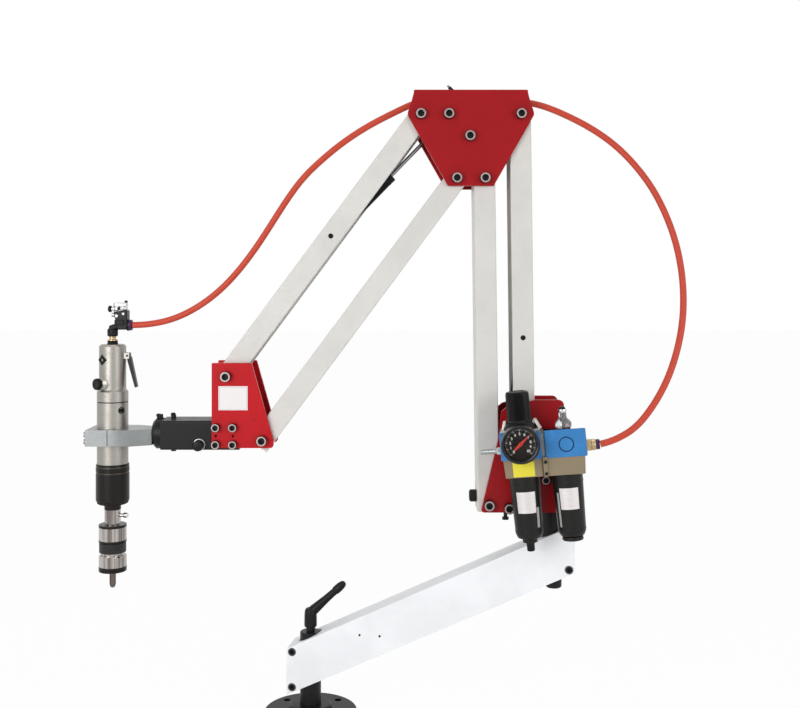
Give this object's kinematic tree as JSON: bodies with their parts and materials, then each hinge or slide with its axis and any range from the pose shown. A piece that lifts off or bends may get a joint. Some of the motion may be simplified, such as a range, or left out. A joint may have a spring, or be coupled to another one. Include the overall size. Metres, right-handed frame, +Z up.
{
  "type": "arm tapping machine",
  "caption": "Bench-mounted articulated arm with parallel bars, gas springs and brackets that carries an air tapping motor upright, with its filter, lubricator, gauge and hose.",
  "frame": {"origin": "centre of the flange's underside, on the post's axis", "axes": "+X towards the arms' column as stored, +Y away from the side with the gauge, +Z up along the post"},
  "size_m": [0.9159, 0.273, 1.0001],
  "materials": {
    "black_steel": "satin black coat",
    "black_plastic": "moulded black plastic",
    "knob_plastic": "moulded dark plastic",
    "white_coat": "warm white coat",
    "red_coat": "deep red coat",
    "black_screw": "blackened screws",
    "steel": "turned steel",
    "black_sleeve": "knurled and blackened",
    "spring_cylinder": "gloss black coat",
    "spring_rod": "ground and plated",
    "rubber": "matt rubber",
    "black_aluminium": "black anodised",
    "aluminium": "milled aluminium",
    "nickel_casing": "satin nickel plated",
    "brass": "turned brass",
    "nickel": "nickel plated",
    "hose": "orange-red polyurethane",
    "cast_body": "tan coated casting",
    "bowl": "black coated bowl",
    "drain": "black plastic",
    "needle": "red enamel",
    "dome": "clear plastic"
  },
  "bodies": {
    "base": {"base_flange": "black_steel", "base_post": "black_steel", "clamp_disc": "black_steel"},
    "lever_stud": {"clamp_lever_stud": "steel"},
    "lever_handle": {"clamp_lever_handle": "black_plastic"},
    "base_arm": {"base_arm_shell": "white_coat", "post_block": "steel", "mast_block": "steel", "base_arm_screws": "black_screw"},
    "lower_bracket": {"mast_spindle": "black_steel", "mast_nut": "black_steel", "lower_plate_front": "red_coat", "lower_plate_back": "red_coat", "lower_bracket_block": "black_steel", "lower_bracket_bolts": "black_screw", "service_bracket": "black_steel", "filter_body": "cast_body", "lubricator_body": "cast_body", "filter_bowl": "bowl", "lubricator_bowl": "bowl", "gauge_case": "knob_plastic", "inlet_barb": "nickel", "outlet_fitting": "brass", "sight_dome": "dome", "hose_rear": "hose"},
    "regulator_knob": {"regulator_knob": "knob_plastic"},
    "gauge_needle": {"gauge_needle": "needle"},
    "drain_valve": {"drain_valve": "drain"},
    "right_bar": {"right_bar": "white_coat"},
    "left_bar": {"left_bar": "white_coat", "bar_buffer": "rubber"},
    "right_spring_rod": {"right_spring_rod": "spring_rod"},
    "right_spring_cylinder": {"right_spring_cylinder": "spring_cylinder"},
    "upper_bracket": {"upper_plate_front": "red_coat", "upper_plate_back": "red_coat", "upper_bracket_bolts": "black_screw", "upper_spacer": "black_steel", "hose_middle": "hose", "hose_front": "hose"},
    "upper_bar": {"upper_bar": "white_coat"},
    "lower_bar": {"lower_bar": "white_coat"},
    "upper_spring_rod": {"upper_spring_rod": "spring_rod"},
    "upper_spring_cylinder": {"upper_spring_cylinder": "spring_cylinder"},
    "tool_bracket": {"tool_plate_front": "red_coat", "tool_plate_back": "red_coat", "tool_bracket_bolts": "black_screw", "tool_block": "black_aluminium"},
    "head": {"swivel_head": "black_aluminium", "clamp_bar": "aluminium", "clamp_cap": "aluminium", "motor_casing": "nickel_casing", "gear_case": "black_sleeve", "air_inlet": "brass", "air_elbow": "black_plastic"},
    "lock_plunger": {"lock_plunger": "black_plastic"},
    "trigger_lever": {"trigger_lever": "black_steel"},
    "reversing_knob": {"reversing_knob": "black_plastic"},
    "chuck": {"chuck_body": "steel", "tap": "steel"},
    "chuck_sleeve": {"chuck_sleeve": "black_sleeve"}
  },
  "joints": [
    {"name": "clamp_lever_turn", "type": "hinge", "parent": "base", "child": "lever_stud", "pos_m": [0, 0, 0.15], "axis": [0, 0, 1], "range_deg": [0, 120]},
    {"name": "clamp_lever_lift", "type": "slide", "parent": "lever_stud", "child": "lever_handle", "axis": [0, 0, 1], "range_m": [0, 0.005], "stiffness_N_per_m": 2000, "springref_m": -0.004},
    {"name": "base_swivel", "type": "hinge", "parent": "base", "child": "base_arm", "pos_m": [0, 0, 0.1], "axis": [0, 0, 1], "continuous": true},
    {"name": "mast_swivel", "type": "hinge", "parent": "base_arm", "child": "lower_bracket", "pos_m": [0.38431, -0.06638, 0.3], "axis": [0, 0, 1], "continuous": true},
    {"name": "lower_arm", "type": "hinge", "parent": "lower_bracket", "child": "right_bar", "pos_m": [0.33541, -0.06638, 0.46399], "axis": [0, 1, 0], "range_deg": [-45, 2.5], "deforming": ["hose_rear"]},
    {"name": "left_bar_foot", "type": "hinge", "parent": "lower_bracket", "child": "left_bar", "pos_m": [0.28041, -0.06638, 0.36609], "axis": [0, 1, 0], "range_deg": [-45, 2.5]},
    {"name": "upper_bracket_pivot", "type": "hinge", "parent": "right_bar", "child": "upper_bracket", "pos_m": [0.3293, -0.06638, 0.96395], "axis": [0, 1, 0], "range_deg": [-2.5, 45]},
    {"name": "right_spring_rod_eye", "type": "hinge", "parent": "lower_bracket", "child": "right_spring_rod", "pos_m": [0.31091, -0.06638, 0.36159], "axis": [0, 1, 0], "range_deg": [-27.7, 1.8]},
    {"name": "right_spring_cylinder_eye", "type": "hinge", "parent": "right_bar", "child": "right_spring_cylinder", "pos_m": [0.33348, -0.06638, 0.62147], "axis": [0, 1, 0], "range_deg": [-1.3, 17.9]},
    {"name": "upper_arm", "type": "hinge", "parent": "upper_bracket", "child": "upper_bar", "pos_m": [0.1763, -0.06638, 0.96395], "axis": [0, 1, 0], "range_deg": [-16.6, 31.5], "deforming": ["hose_front"]},
    {"name": "lower_bar_head", "type": "hinge", "parent": "upper_bracket", "child": "lower_bar", "pos_m": [0.2313, -0.06638, 0.86605], "axis": [0, 1, 0], "range_deg": [-16.6, 31.5]},
    {"name": "tool_bracket_pivot", "type": "hinge", "parent": "upper_bar", "child": "tool_bracket", "pos_m": [-0.12181, -0.06638, 0.56254], "axis": [0, 1, 0], "range_deg": [-31.5, 16.6]},
    {"name": "upper_spring_rod_eye", "type": "hinge", "parent": "upper_bracket", "child": "upper_spring_rod", "pos_m": [0.2191, -0.06638, 0.96395], "axis": [0, 1, 0], "range_deg": [-14.8, 27.8]},
    {"name": "upper_spring_cylinder_eye", "type": "hinge", "parent": "upper_bar", "child": "upper_spring_cylinder", "pos_m": [0.0381, -0.06638, 0.77786], "axis": [0, 1, 0], "range_deg": [-4.3, 2.4]},
    {"name": "head_swivel", "type": "hinge", "parent": "tool_bracket", "child": "head", "pos_m": [-0.22381, -0.06638, 0.47154], "axis": [1, 0, 0], "range_deg": [0, 90]},
    {"name": "lock_plunger_pull", "type": "slide", "parent": "tool_bracket", "child": "lock_plunger", "axis": [0, -1, 0], "range_m": [0, 0.006], "stiffness_N_per_m": 1500, "springref_m": -0.004},
    {"name": "trigger_press", "type": "hinge", "parent": "head", "child": "trigger_lever", "pos_m": [-0.27981, -0.06638, 0.59254], "axis": [0, 1, 0], "range_deg": [0, 12], "stiffness_Nm_per_rad": 0.6, "springref_deg": -14.32},
    {"name": "reversing_knob_turn", "type": "hinge", "parent": "head", "child": "reversing_knob", "pos_m": [-0.31937, -0.08469, 0.54954], "axis": [-0.6428, -0.766, 0], "range_deg": [-45, 45]},
    {"name": "chuck_spin", "type": "hinge", "parent": "head", "child": "chuck", "pos_m": [-0.30401, -0.06638, 0.35454], "axis": [0, 0, 1], "continuous": true},
    {"name": "chuck_sleeve_slide", "type": "slide", "parent": "chuck", "child": "chuck_sleeve", "axis": [0, 0, -1], "range_m": [0, 0.004], "stiffness_N_per_m": 1500, "springref_m": -0.004},
    {"name": "regulator_knob_turn", "type": "hinge", "parent": "lower_bracket", "child": "regulator_knob", "pos_m": [0.32226, -0.1385, 0.49796], "axis": [-0.0898, 0.0126, 0.9959], "continuous": true},
    {"name": "gauge_needle_turn", "type": "hinge", "parent": "lower_bracket", "child": "gauge_needle", "pos_m": [0.3168, -0.19428, 0.47207], "axis": [-0.1392, -0.9903, 0], "range_deg": [-87, 183]},
    {"name": "drain_valve_turn", "type": "hinge", "parent": "lower_bracket", "child": "drain_valve", "pos_m": [0.33851, -0.14078, 0.31771], "axis": [-0.0898, 0.0126, 0.9959], "range_deg": [0, 90]}
  ],
  "couplings": [
    {"joint": "left_bar_foot", "follows": "lower_arm", "ratio": 1},
    {"joint": "upper_bracket_pivot", "follows": "lower_arm", "ratio": -1},
    {"joint": "right_spring_rod_eye", "follows": "lower_arm", "ratio": 0.608},
    {"joint": "right_spring_cylinder_eye", "follows": "lower_arm", "ratio": -0.392},
    {"joint": "lower_bar_head", "follows": "upper_arm", "ratio": 1},
    {"joint": "tool_bracket_pivot", "follows": "upper_arm", "ratio": -1},
    {"joint": "upper_spring_rod_eye", "follows": "upper_arm", "ratio": 0.873},
    {"joint": "upper_spring_cylinder_eye", "follows": "upper_arm", "ratio": -0.127}
  ]
}
